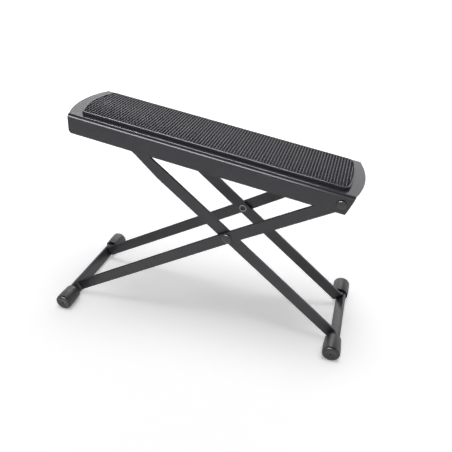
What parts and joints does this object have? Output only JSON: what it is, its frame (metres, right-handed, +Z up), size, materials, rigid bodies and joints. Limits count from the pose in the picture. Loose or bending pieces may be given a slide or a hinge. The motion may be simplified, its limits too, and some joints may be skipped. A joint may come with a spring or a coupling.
{
  "type": "guitar footrest",
  "caption": "Folding guitar footrest: a sloping rubber-covered steel tread on scissor legs, with a notched rack under the tread for the height.",
  "frame": {"origin": "on the floor, midway between the two foot bars and midway between the near and far legs", "axes": "+Z up, +X towards the pivoted lower end of the tread, +Y towards the far side, as the picture shows it"},
  "size_m": [0.3374, 0.1428, 0.2393],
  "materials": {
    "pan_enamel": "satin charcoal powder coat",
    "frame_enamel": "satin charcoal powder coat",
    "rivet_steel": "glossy black coat",
    "rod_steel": "plain drawn steel",
    "tread_rubber": "matt moulded rubber",
    "cap_rubber": "satin moulded rubber"
  },
  "bodies": {
    "outer_frame": {"outer_leg_near": "frame_enamel", "outer_leg_far": "frame_enamel", "outer_base_bar": "frame_enamel", "outer_foot_cap_near": "cap_rubber", "outer_foot_cap_far": "cap_rubber", "scissor_rivet_near": "rivet_steel", "scissor_rivet_far": "rivet_steel"},
    "inner_frame": {"inner_leg_near": "frame_enamel", "inner_leg_far": "frame_enamel", "inner_base_bar": "frame_enamel", "inner_foot_cap_near": "cap_rubber", "inner_foot_cap_far": "cap_rubber", "catch_rod": "rod_steel"},
    "tread_pivots": {"pivot_rivet_near": "rivet_steel", "pivot_rivet_far": "rivet_steel"},
    "tread": {"tread_pan": "pan_enamel", "tread_pad": "tread_rubber", "height_rack": "frame_enamel"}
  },
  "joints": [
    {"name": "leg_scissor", "type": "hinge", "parent": "outer_frame", "child": "inner_frame", "pos_m": [0.03665, 0, 0.11829], "axis": [0, -1, 0], "range_deg": [0, 70.65]},
    {"name": "tread_fold", "type": "hinge", "parent": "tread_pivots", "child": "outer_frame", "pos_m": [0.14709, 0, 0.17961], "axis": [0, 1, 0], "range_deg": [0, 38]},
    {"name": "tread_lift", "type": "hinge", "parent": "tread_pivots", "child": "tread", "pos_m": [0.14709, 0, 0.17961], "axis": [0, 1, 0], "range_deg": [0, 9]}
  ],
  "couplings": [
    {"joint": "tread_fold", "follows": "leg_scissor", "ratio": 0.5361}
  ]
}
